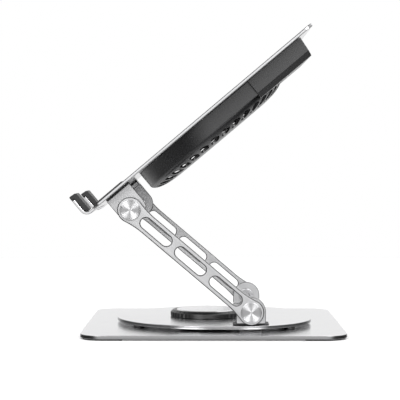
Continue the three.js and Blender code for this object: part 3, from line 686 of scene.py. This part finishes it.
def make_hub():
    low, high = span("hub_collar")
    cap_low, cap_high = span("hub_cap")
    outer, top = high.x, high.z
    shoulder, seat, floor = top - HUB["shoulder"], cap_low.z - GAP, low.z
    inner, rim, ledge = TURNTABLE["hole"] + 1, HUB["cap"] + 0.5, seat - HUB["ledge_thick"]
    profile = [
        (inner, floor), (outer, floor), (outer, shoulder), (outer - HUB["bevel"], top), (rim, top),
        (rim, seat), (HUB["ledge"], seat), (HUB["ledge"], ledge), (inner, ledge),
    ]
    radii = [0.2, 0.5, 0.9, 0.7, 0.3, 0.1, 0.1, 0.1, 0.1]

    def ribbed(radius, height, angle):
        """Rounded ribs on the two sides that a hand reaches, fading out at the shoulder."""
        if radius < outer - 1.6 or height > shoulder + 0.4:
            return radius
        off = abs(math.remainder(angle - 3 * QUARTER, 2 * QUARTER))
        fade = min(1.0, max(0.0, (HUB["rib_sector"] - off) / 0.05))
        wave = abs(math.sin(angle * HUB["ribs"] / 2)) ** 0.6
        return radius - HUB["rib_depth"] * fade * (1 - wave)

    fine("hub_collar", turned(soften(profile, radii, 5), 456, ribbed), smooth=50)
    edge, top = cap_high.x, cap_high.z
    groove = edge - HUB["groove"]
    profile = [
        (0, cap_low.z), (edge, cap_low.z), (edge, top - 0.5), (edge - 0.5, top), (groove + 0.2, top),
        (groove, top - 0.25), (groove - 0.2, top), (0, top),
    ]
    fine("hub_cap", turned(soften(profile, 0.15, 3, closed=False), 96))


# ---------- hinge brackets, flanges and what clamps them ----------
def stud_holes(node, place=UPRIGHT):
    """Where a stud plate's two studs pass, as hole outlines."""
    low, high = span(node, place)
    x, y = (low.x + high.x) / 2, (low.y + high.y) / 2
    half = BRACKET["stud_half"]
    return [circle(BRACKET["stud_hole"], 20, x, y + off) for off in (-half, half)]


def ear_and_foot(node, ear_points, pivot, foot_span, foot_heights, holes, places, mirror):
    """An upright ear bored for the hinge pin, and the foot that it stands on, as one piece."""
    inner = BRACKET["inner"]
    radii = [BRACKET["corner"]] * 2 + [0] * (len(ear_points) - 2)
    bore = circle(PIN["bore"], 32, *pivot)
    ear = prism(soften(ear_points, radii), inner, inner + BRACKET["ear"], BRACKET["edge"], [bore])
    foot_line = rounded_rectangle(BRACKET["foot_inner"], inner + 1.5, *foot_span, 1.2, 4)
    foot = prism(foot_line, *foot_heights, 0.45, holes)
    piece = mesh_object(node + "_fine", ear, places[0], mirror)
    stand_for(node, boolean(piece, [mesh_object("foot", foot, places[1], mirror)], "UNION"))
    # The rounded side edges get a painted dark reflection line.
    paint_dark_reflections(piece, "painted_dark_line", is_side_rounding)


def gasket(level, side, place, corner, holes, mirror):
    low, high = span(f"{level}_gasket_right", place)
    outline = rounded_rectangle(low.x, high.x, low.y, high.y, corner, 6)
    fine(f"{level}_gasket_{side}", prism(outline, low.z, high.z, 0.25, holes), place, mirror)


def make_lower_brackets():
    half = BRACKET["half"]
    for side, sx in SIDES:
        low, high = span(f"lower_bracket_{side}")
        points = [(LOWER.y - half, low.z), (LOWER.y + half, low.z)]
        points += arc(LOWER.y, LOWER.z, half, 0, 2 * QUARTER, 28)
        holes = stud_holes("lower_studs_right")
        heights = (low.z, low.z + BRACKET["foot"])
        ear_and_foot(f"lower_bracket_{side}", points, (LOWER.y, LOWER.z), (low.y, high.y), heights, holes,
                     (ACROSS, UPRIGHT), sx < 0)
        gasket("lower", side, UPRIGHT, 2.5, holes, sx < 0)
        make_hinge_hardware(side, sx, "lower", LOWER)


def make_upper_flanges():
    for side, sx in SIDES:
        low, high = span("upper_flange_right", PLATFORM)
        points = [(high.y, high.z), (low.y, high.z)]
        points += arc((low.y + high.y) / 2, 0, FLANGE_RADIUS, 2 * QUARTER, 4 * QUARTER, 28)
        holes = stud_holes("upper_studs_right", PLATFORM)
        heights = (high.z - BRACKET["foot"], high.z)
        ear_and_foot(f"upper_flange_{side}", points, (0, 0), (low.y, high.y), heights, holes,
                     (PLATFORM_ACROSS, PLATFORM), sx < 0)
        gasket("upper", side, PLATFORM, 1.5, holes, sx < 0)
        make_hinge_hardware(side, sx, "upper", UPPER)


def make_hinge_hardware(side, sx, level, centre):
    """The pin with its socket head, the friction washer and the spun cap over the nut."""
    place = hinge_place(centre, sx)
    low, high = span(f"{level}_pin_{side}", place)
    radius, head, socket, bore = PIN["radius"], PIN["head"], PIN["socket"], PIN["bore"]
    socket_floor, head_top = low.z + PIN["socket_depth"], low.z + PIN["head_depth"]
    profile = [
        (0, socket_floor), (socket, socket_floor), (socket + 0.4, low.z), (head, low.z), (head, head_top),
        (radius, head_top), (radius, high.z), (0, high.z),
    ]
    radii = [0, 0.3, 0.2, 0.8, 0.3, 0.2, 0.5, 0]
    fine(f"{level}_pin_{side}", turned(soften(profile, radii, closed=False), 48), place)
    low, high = span(f"{level}_washer_{side}", place)
    profile = [(bore, low.z), (high.y, low.z), (high.y, high.z), (bore, high.z)]
    fine(f"{level}_washer_{side}", turned(soften(profile, 0.2), 56), place)
    node = f"hinge_cap_{level}_{side}"
    low, high = span(node, place)
    face, edge = high.z, CAP["radius"]
    groove, half = CAP["groove"], CAP["groove_half"]
    profile = [
        (0, low.z), (edge, low.z), (edge, face - 0.5), (edge - 0.5, face), (groove + half, face),
        (groove, face - CAP["groove_depth"]), (groove - half, face), (0, face - CAP["dish"]),
    ]
    radii = [0, 0.15, 0.15, 0.15, 0.06, 0, 0.06, 0]
    fine(node, turned(soften(profile, radii, 3, closed=False), 96), place)


# ---------- arms ----------
def arm_outline():
    reach = math.sqrt((ARM["boss"] + ARM["fillet"]) ** 2 - (ARM["half"] + ARM["fillet"]) ** 2)
    side = ARM["half"] + ARM["fillet"]
    lift = math.atan2(side, reach)
    straight = 2 * QUARTER
    length = ARM_LENGTH
    return (
        arc(0, 0, ARM["boss"], lift, 2 * straight - lift, 40)
        + arc(reach, -side, ARM["fillet"], straight - lift, QUARTER, 8)[1:]
        + arc(length - reach, -side, ARM["fillet"], QUARTER, lift, 8)
        + arc(length, 0, ARM["boss"], straight + lift, 3 * straight - lift, 40)[1:]
        + arc(length - reach, side, ARM["fillet"], -lift, -QUARTER, 8)[1:]
        + arc(reach, side, ARM["fillet"], 3 * QUARTER, straight + lift, 8)[:-1]
    )


def make_arms():
    low, high = span("arm_right", ARMS)
    for side, sx in SIDES:
        holes = [stadium(start, end, ARM_SLOT["half"]) for start, end in ARM_SLOT["spans"]]
        holes += [circle(PIN["bore"], 32), circle(PIN["bore"], 32, ARM_LENGTH)]
        bar = prism(arm_outline(), low.z, high.z, ARM["edge"], holes)
        arm = mesh_object(f"arm_{side}_fine", bar, ARMS, sx < 0)
        sinks = []
        for x in (0, ARM_LENGTH):
            sink = prism(circle(ARM["sink"], 48, x), high.z - ARM["sink_depth"], high.z + 1, 0.05, steps=1)
            sinks.append(mesh_object("sink", sink, ARMS, sx < 0))
        # The arm's rounded side edges get a painted dark reflection line.
        paint_dark_reflections(stand_for(f"arm_{side}", boolean(arm, sinks, "DIFFERENCE")), "painted_dark_line", is_side_rounding)


# ---------- platform ----------
def hook_profile(under):
    centre = (HOOK["face"] + HOOK["bend"], under + HOOK["bend"])
    root, thick = HOOK["root"], HOOK["thick"]
    points = [(root, under), (root, under + thick)]
    points += arc(*centre, HOOK["bend"] - thick, -QUARTER, -2 * QUARTER, 12)
    points += [(HOOK["face"] + thick, HOOK["tip"]), (HOOK["face"], HOOK["tip"])]
    points += arc(*centre, HOOK["bend"], 2 * QUARTER, 3 * QUARTER, 14)
    return points


def lip_pad_profile(top):
    inside = HOOK["face"] + HOOK["thick"] + GAP
    foot = top + LIP_PAD["lift"]
    under_tip = HOOK["tip"] + GAP
    inner, tip = LIP_PAD["inner"], LIP_PAD["tip"]
    points = [
        (inside, foot + 3), (inside + 1.5, foot), (inner - 1, foot), (inner, foot + 1), (inner, tip - 1.6),
        (inner - 1.5, tip - 0.4), (inside + 0.6, tip - 0.2), (inside - 0.4, tip), (HOOK["face"], tip),
        (HOOK["face"], under_tip), (inside, under_tip),
    ]
    radii = [0.4, 0.4, 0.6, 0.6, 0.8, 0.8, 0.4, 0.4, 0.9, 0.2, 0.05]
    return soften(points, radii)


def housing_screws():
    """Places of the housing's screws in the platform's plane."""
    places = []
    for degrees in (45, 135, 225, 315):
        turn = math.radians(degrees)
        places.append((SCREW["ring"] * math.cos(turn), FAN_ALONG + SCREW["ring"] * math.sin(turn)))
    return places + [(-SCREW["box_x"], SCREW["box_y"]), (SCREW["box_x"], SCREW["box_y"])]


def grille_slots():
    slots = []
    for row in range(-4, 5):
        y = row * GRILLE["pitch"]
        reach = math.sqrt(GRILLE["radius"] ** 2 - y * y)
        slots.append(moved(stadium(-reach, reach, GRILLE["half"], 8), 0, FAN_ALONG + y))
    return slots


def plate_top():
    return span("top_pad_right", PLATFORM)[0].z - GAP


def make_plate():
    high = span("platform_plate", PLATFORM)[1]
    top = plate_top()
    under = top - PLATE["thick"]
    outline = rounded_rectangle(-high.x, high.x, PLATE["front"], high.y, PLATE["corner"], 12)
    sinks = [circle(SCREW["sink"], 28, x, y) for x, y in housing_screws()]
    sheet = prism(outline, under, top, PLATE["edge"], grille_slots() + sinks)
    plate = mesh_object("platform_plate_fine", sheet, PLATFORM)
    hooks = []
    for side, sx in SIDES:
        hook = prism(hook_profile(under), HOOK["inner"], HOOK["outer"], HOOK["edge"])
        hooks.append(mesh_object("hook", hook, PLATFORM_ACROSS, sx < 0))
    boolean(plate, hooks, "UNION")
    ledges = []
    for x, y in housing_screws():
        ring = prism(circle(SCREW["sink"] + 0.6, 28, x, y), under + 0.05, top - SCREW["depth"], 0.05,
                     [circle(BRACKET["stud_hole"], 24, x, y)], 1)
        ledges.append(mesh_object("ledge", ring, PLATFORM))
    # The plate's rounded upper edges get a painted dark reflection line.
    paint_dark_reflections(stand_for("platform_plate", boolean(plate, ledges, "UNION")), "painted_dark_line", is_top_rounding)
    for side, sx in SIDES:
        trim = LIP_PAD["trim"]
        pad = prism(lip_pad_profile(top), HOOK["inner"] + trim, HOOK["outer"] - trim, 0.5)
        fine(f"lip_pad_{side}", pad, PLATFORM_ACROSS, sx < 0)
        low, high = span("top_pad_right", PLATFORM)
        outline = rounded_rectangle(low.x, high.x, low.y, high.y, 4, 8)
        fine(f"top_pad_{side}", prism(outline, low.z, high.z, 0.3), PLATFORM, sx < 0)


def make_screws():
    top = plate_top()
    floor, face = top - SCREW["depth"], top - SCREW["below"]
    head, shaft, end = SCREW["head"], SCREW["shaft"], floor - SCREW["length"]
    profile = [
        (0, end), (shaft, end), (shaft, floor + 0.1), (head, floor + 0.1), (head, face), (0, face),
    ]
    radii = [0, 0.4, 0.1, 0.15, 0.5, 0]
    for number, (x, y) in enumerate(housing_screws(), 1):
        place = PLATFORM @ Matrix.Translation((x, y, 0))
        body = turned(soften(profile, radii, closed=False), 40)
        screw = mesh_object(f"housing_screw_{number}", body, place)
        key = prism(circle(SCREW["socket"], 6), top - SCREW["socket_depth"], top + 1, 0.02, steps=1)
        socket = mesh_object("socket", key, place)
        boolean(screw, [socket], "DIFFERENCE")
        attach(screw, "platform")
        finish_piece(screw, FINISH["black_steel"])


# ---------- fan housing ----------
def shroud_curve(top, wall):
    """The shroud's section from its top edge, round the shoulder and in to the axis."""
    radius, crease = SHROUD["radius"] - wall, SHROUD["crease"]
    points = [(radius, top), (radius, crease + 0.6)]
    steps = 16
    for i in range(steps + 1):
        turn = QUARTER * i / steps
        reach = SHROUD["flat"] + (radius - SHROUD["flat"]) * math.cos(turn) ** 0.9
        points.append((reach, crease - (crease - SHROUD["bottom"] - wall) * math.sin(turn)))
    points.append((0, SHROUD["bottom"] + wall))
    return points


def vent_cutters():
    """Oval openings round the shoulder, wide along it and each turned a little the same way, as one mesh."""
    slots = []
    count = VENT["count"]
    middle = (VENT["inner"] + VENT["outer"]) / 2
    depth = (VENT["outer"] - VENT["inner"]) / 2
    slant = Matrix.Rotation(math.radians(VENT["slant"]), 4, "Z")
    corners = [
        (-depth, -VENT["narrow"]), (depth, -VENT["wide"]), (depth, VENT["wide"]), (-depth, VENT["narrow"]),
    ]
    outline = soften(corners, VENT["corner"], 8)
    verts, faces = prism(outline, SHROUD["bottom"] - 3, SHROUD["crease"] - 0.2, 0.02, steps=1)
    for i in range(count):
        turn = Matrix.Rotation(4 * QUARTER * (i + 0.5) / count, 4, "Z")
        place = turn @ Matrix.Translation((middle, 0, 0)) @ slant
        slots.append(([tuple(place @ Vector(v)) for v in verts], faces))
    return joined(*slots)


def cheeks(top):
    """Straight sides that carry the round wall back to the rear box, hollow and open at the top."""
    radius, wall, low = SHROUD["radius"], SHROUD["wall"], SHROUD["crease"]
    rear = span("rear_box", PLATFORM)[0].y - GAP - FAN_ALONG
    outline = soften([(-radius, 0), (radius, 0), (radius, rear), (-radius, rear)], [0, 0, 1.2, 1.2], 5)
    whole = mesh_object("cheeks", prism(outline, low, top, 0.35), FAN, smooth=40)
    side = radius - wall
    hollow = prism(rounded_rectangle(-side, side, -4, rear - wall, 1.0), low + wall, top + 9, 0.3)
    middle_of_wall = prism(circle(radius - wall / 2, 144), low - 1, top + 9, 0.02, steps=1)
    tools = [mesh_object("hollow", hollow, FAN), mesh_object("middle_of_wall", middle_of_wall, FAN)]
    return boolean(whole, tools, "DIFFERENCE", 40)


def make_shroud():
    top = span("fan_shroud", FAN)[1].z
    outer, inner = shroud_curve(top, 0), shroud_curve(top, SHROUD["wall"])
    profile = outer[::-1] + inner
    shell = mesh_object("fan_shroud_fine", turned(profile, 144), FAN, smooth=40)
    boolean(shell, [cheeks(top)], "UNION", 40)
    vents = mesh_object("vents", vent_cutters(), FAN)
    boolean(shell, [vents], "DIFFERENCE", 40)
    stand_for("fan_shroud", shell)


def box_section(inset_by, top):
    half = span("rear_box", PLATFORM)[1].x - inset_by
    bottom = BOX["bottom"] + inset_by
    points = [
        (-half, top), (-half, BOX["crease"]), (-half + BOX["chamfer"], bottom),
        (half - BOX["chamfer"], bottom), (half, BOX["crease"]), (half, top),
    ]
    return soften(points, [0, 1.2, 1.6, 1.6, 1.2, 0], 6)


def make_rear_box():
    low, high = span("rear_box", PLATFORM)
    place = basis(X, PLATE_NORMAL, -PLATE_ALONG, UPPER)
    front = low.y - 6
    shell_solid = prism(box_section(0, high.z), -high.y, -front, 0.7, steps=4)
    shell = mesh_object("rear_box_fine", drafted(shell_solid, -high.y, high.z), place, smooth=28)
    inside_rear = high.y - BOX["wall"] - BOX["draft"]
    inside = mesh_object("inside", prism(box_section(BOX["wall"], high.z + 10), -inside_rear, 0, 0.3), place)
    room = mesh_object("room", prism(circle(SHROUD["radius"] + GAP + 0.1, 144), -20, 40, 0.01, steps=1), FAN)
    tools = [inside, room]
    for node, clearance in (("power_socket", 0.25), ("speed_button", 0.3)):
        near, far = span(node, PLATFORM)
        hole = rounded_rectangle(near.x - clearance, far.x + clearance, near.z - clearance, far.z + clearance,
                                 (far.z - near.z) / 2 + clearance - 0.01, 10)
        tools.append(mesh_object("hole", prism(hole, -high.y - 5, -high.y + 12, 0.01, steps=1), place))
    boolean(shell, tools, "DIFFERENCE", 28)
    stand_for("rear_box", shell)


def drafted(solid, rear, top):
    """Leans the rear wall in towards its lower edge."""
    verts, faces = solid
    made = []
    for x, y, z in verts:
        near = max(0.0, 1 - (z - rear) / 3)
        made.append((x, y, z + near * BOX["draft"] * (top - y) / (top - BOX["bottom"])))
    return made, faces


def make_socket_and_button():
    place = basis(X, PLATE_NORMAL, -PLATE_ALONG, UPPER)
    low, high = span("power_socket", place)
    middle = (low + high) / 2
    half = (high.y - low.y) / 2
    width = (high.x - low.x) / 2
    outside = moved(stadium(-width, width, half, 12), middle.x, middle.y)
    wall, tongue_half, tongue_thick = SOCKET["wall"], SOCKET["tongue_half"], SOCKET["tongue_thick"]
    mouth = moved(stadium(-width + wall, width - wall, half - wall, 12), middle.x, middle.y)
    can = mesh_object("power_socket_fine", prism(outside, low.z, high.z, 0.15), place)
    hollow = mesh_object("hollow", prism(mouth, low.z - 2, low.z + SOCKET["depth"], 0.05, steps=1), place)
    boolean(can, [hollow], "DIFFERENCE")
    tongue = rounded_rectangle(-tongue_half, tongue_half, -tongue_thick, tongue_thick, 0.2, 3)
    blank = prism(moved(tongue, middle.x, middle.y), low.z + 1.2, low.z + 7, 0.08, steps=1)
    tab = mesh_object("tab", blank, place)
    stand_for("power_socket", boolean(can, [tab], "UNION"))
    low, high = span("speed_button", place)
    middle = (low + high) / 2
    radius = (high.y - low.y) / 2
    profile = [(0, low.z + 0.35), (radius - 1.2, low.z + 0.1), (radius - 0.5, low.z), (radius, low.z + 0.5)]
    profile += [(radius, high.z), (0, high.z)]
    button = turned(soften(profile, 0.3, closed=False), 48)
    fine("speed_button", shifted(button, middle.x, middle.y), place)


# ---------- fan ----------
def blade(number):
    """One swept, pitched blade with a rounded tip, thicker at its root."""
    radial, chord = 14, 8
    start, end = WHEEL["hub"] - BLADE["root"], BLADE["tip"]
    tops, bottoms = [], []
    for i in range(radial + 1):
        t = i / radial
        r = start + (end - start) * t
        tip_rounding = math.sqrt(max(0.05, 1 - max(0, t - 0.9) ** 2 * 60))
        half_chord = BLADE["half_chord"] * (1 - 0.25 * t) * tip_rounding
        lean = BLADE["sweep"] * t * t
        pitch = BLADE["pitch"] * (1 - 0.3 * t)
        thick = 0.75 - 0.35 * t
        for j in range(chord + 1):
            u = 2 * j / chord - 1
            angle = 4 * QUARTER * number / WHEEL["blades"] + lean + half_chord * u * math.cos(pitch)
            rise = min(BLADE["rise"], half_chord * r * math.sin(pitch))
            height = BLADE["middle"] + rise * u + BLADE["camber"] * (1 - u * u)
            x, y = r * math.cos(angle), r * math.sin(angle)
            tops.append((x, y, height + thick))
            bottoms.append((x, y, height - thick))
    verts = tops + bottoms
    across, offset = chord + 1, len(tops)
    faces = []
    for i in range(radial):
        for j in range(chord):
            a, d = i * across + j, (i + 1) * across + j
            b, c = a + 1, d + 1
            faces += [(a, b, c, d), (offset + d, offset + c, offset + b, offset + a)]
    rim = [i * across for i in range(radial + 1)]
    rim += [radial * across + j for j in range(1, across)]
    rim += [i * across + chord for i in range(radial - 1, -1, -1)]
    rim += list(range(chord - 1, 0, -1))
    for a, b in zip(rim, rim[1:] + rim[:1]):
        faces.append((a, b, offset + b, offset + a))
    return verts, faces


def make_impeller():
    top = span("impeller", FAN)[1].z
    hub, shaft, low, roof = WHEEL["hub"], WHEEL["shaft"], WHEEL["low"], WHEEL["roof"]
    inner = hub - WHEEL["wall"]
    profile = [
        (0, low), (shaft, low), (shaft, roof), (inner, roof), (inner, low), (hub, low), (hub, top), (0, top),
    ]
    radii = [0, 0.2, 0.2, 0.5, 0.3, 0.3, 1.4, 0]
    wheel = mesh_object("impeller_fine", turned(soften(profile, radii, closed=False), 72), FAN)
    blades = [mesh_object("blade", blade(i), FAN) for i in range(WHEEL["blades"])]
    stand_for("impeller", boolean(wheel, blades, "UNION", 40))


# ---------- CAD pieces that keep their shape ----------
def finish_kept_nodes():
    """The inner pieces stay as they are, with worked edges and a finish of their own."""
    for node, piece in frame["nodes"].items():
        if piece.hide_render:
            continue
        edge = piece.modifiers.new("Edges", "BEVEL")
        edge.width = 0.15 * MM
        edge.segments = 2
        edge.limit_method = "ANGLE"
        edge.angle_limit = math.radians(40)
        edge.harden_normals = True
        finish_piece(piece, FINISH[SLOT_OF[node]], weighted=False)


# ---------- studio ----------
def card(name, corners, tone):
    """A flat sheet of paper in the studio."""
    mesh = bpy.data.meshes.new(name)
    mesh.from_pydata(corners, [], [tuple(range(len(corners)))])
    made = bpy.data.objects.new(name, mesh)
    bpy.context.scene.collection.objects.link(made)
    paper = Nodes(name.capitalize() + "Paper", Roughness=0.9)
    fibres = paper.spread(paper.noise(3, 2), 0, 1)
    paper.drive("Base Color", paper.tint(fibres, [tone * 0.98] * 3, [tone] * 3))
    made.data.materials.append(paper.material)
    return made


def make_floor():
    """A white sheet that no reflection shows: gloss looks past it to the dim lower half of the room."""
    floor = card("floor", [(x, y, 0) for x, y in circle(FLOOR_REACH, 64)], PAPER_TONE)
    floor.visible_glossy = False


def make_world():
    """White to the camera. As a light and in reflections it is a room shaded by direction, tuned to give
    the metal its tones: it darkens low down to both ends of the stand, as black flags do, and overhead."""
    world = bpy.data.worlds.new("Studio")
    bpy.context.scene.world = world
    world.use_nodes = True
    tree = world.node_tree
    back = tree.nodes["Background"]
    back.inputs["Color"].default_value = (1, 1, 1, 1)
    where = tree.nodes.new("ShaderNodeTexCoord")
    parts = tree.nodes.new("ShaderNodeSeparateXYZ")
    tree.links.new(where.outputs["Generated"], parts.inputs[0])

    def node_math(operation, *values):
        node = tree.nodes.new("ShaderNodeMath")
        node.operation = operation
        for socket, value in zip(node.inputs, values):
            if isinstance(value, (int, float)):
                socket.default_value = value
            else:
                tree.links.new(value, socket)
        return node.outputs[0]

    def ramp(source, start, end):
        node = tree.nodes.new("ShaderNodeMapRange")
        node.interpolation_type = "SMOOTHSTEP"
        node.inputs["From Min"].default_value = start
        node.inputs["From Max"].default_value = end
        tree.links.new(source, node.inputs["Value"])
        return node.outputs["Result"]

    def share(whole, part, amount):
        """The whole, less an amount of it where part is 1."""
        return node_math("MULTIPLY", whole, node_math("SUBTRACT", 1.0, node_math("MULTIPLY", part, amount)))

    x, y, z = parts.outputs
    sideways = ramp(node_math("ABSOLUTE", y), 0.3, 0.75)
    flags = share(sideways, ramp(z, 0.05, 0.8), 1.0)
    room = node_math("ADD", node_math("MULTIPLY", ramp(x, 0.3, 0.9), FRONT_LIGHT), ROOM_LIGHT)
    above = share(share(room, ramp(z, 0.35, 0.8), CEILING_SHADE), flags, FLAG_SHADE)
    behind = node_math("MULTIPLY", ramp(x, -0.2, -0.9), BACK_LIGHT)
    under = node_math("MULTIPLY", ramp(z, -0.45, -0.9), FLOOR_LIGHT)
    below = node_math("ADD", node_math("ADD", behind, under), GROUND_LIGHT)
    rising = ramp(z, -0.35, -0.12)
    light = node_math("ADD", node_math("MULTIPLY", above, rising), share(below, rising, 1.0))
    path = tree.nodes.new("ShaderNodeLightPath")
    seen = node_math("MAXIMUM", light, path.outputs["Is Camera Ray"])
    tree.links.new(seen, back.inputs["Strength"])


def make_lights():
    for name, place, size, power in LAMPS:
        lamp = bpy.data.lights.new(name, "AREA")
        lamp.size = size
        lamp.energy = power
        holder = bpy.data.objects.new(name, lamp)
        holder.location = place
        aim = LAMP_AIM - Vector(place)
        holder.rotation_euler = aim.to_track_quat("-Z", "Y").to_euler()
        bpy.context.scene.collection.objects.link(holder)


def make_camera():
    """A long lens square to the stand's side, a little above it, turned and pitched by a degree or so."""
    camera = bpy.data.cameras.new("camera")
    camera.sensor_width = CAMERA["sensor"]
    camera.lens = CAMERA["lens"]
    camera.clip_start = 0.05
    holder = bpy.data.objects.new("camera", camera)
    turn, pitch = CAMERA["turn"], CAMERA["pitch"]
    level = math.cos(pitch)
    forward = Vector((-math.cos(turn) * level, -math.sin(turn) * level, -math.sin(pitch)))
    holder.location = CAMERA["place"]
    holder.rotation_euler = forward.to_track_quat("-Z", "Y").to_euler()
    bpy.context.scene.collection.objects.link(holder)
    bpy.context.scene.camera = holder


make_camera()
make_base()
make_turntable()
make_lower_brackets()
make_arms()
make_upper_flanges()
make_plate()
make_screws()
make_shroud()
make_rear_box()
make_socket_and_button()
make_impeller()
finish_kept_nodes()
make_floor()
make_world()
make_lights()
bpy.context.scene.view_settings.view_transform = "Standard"
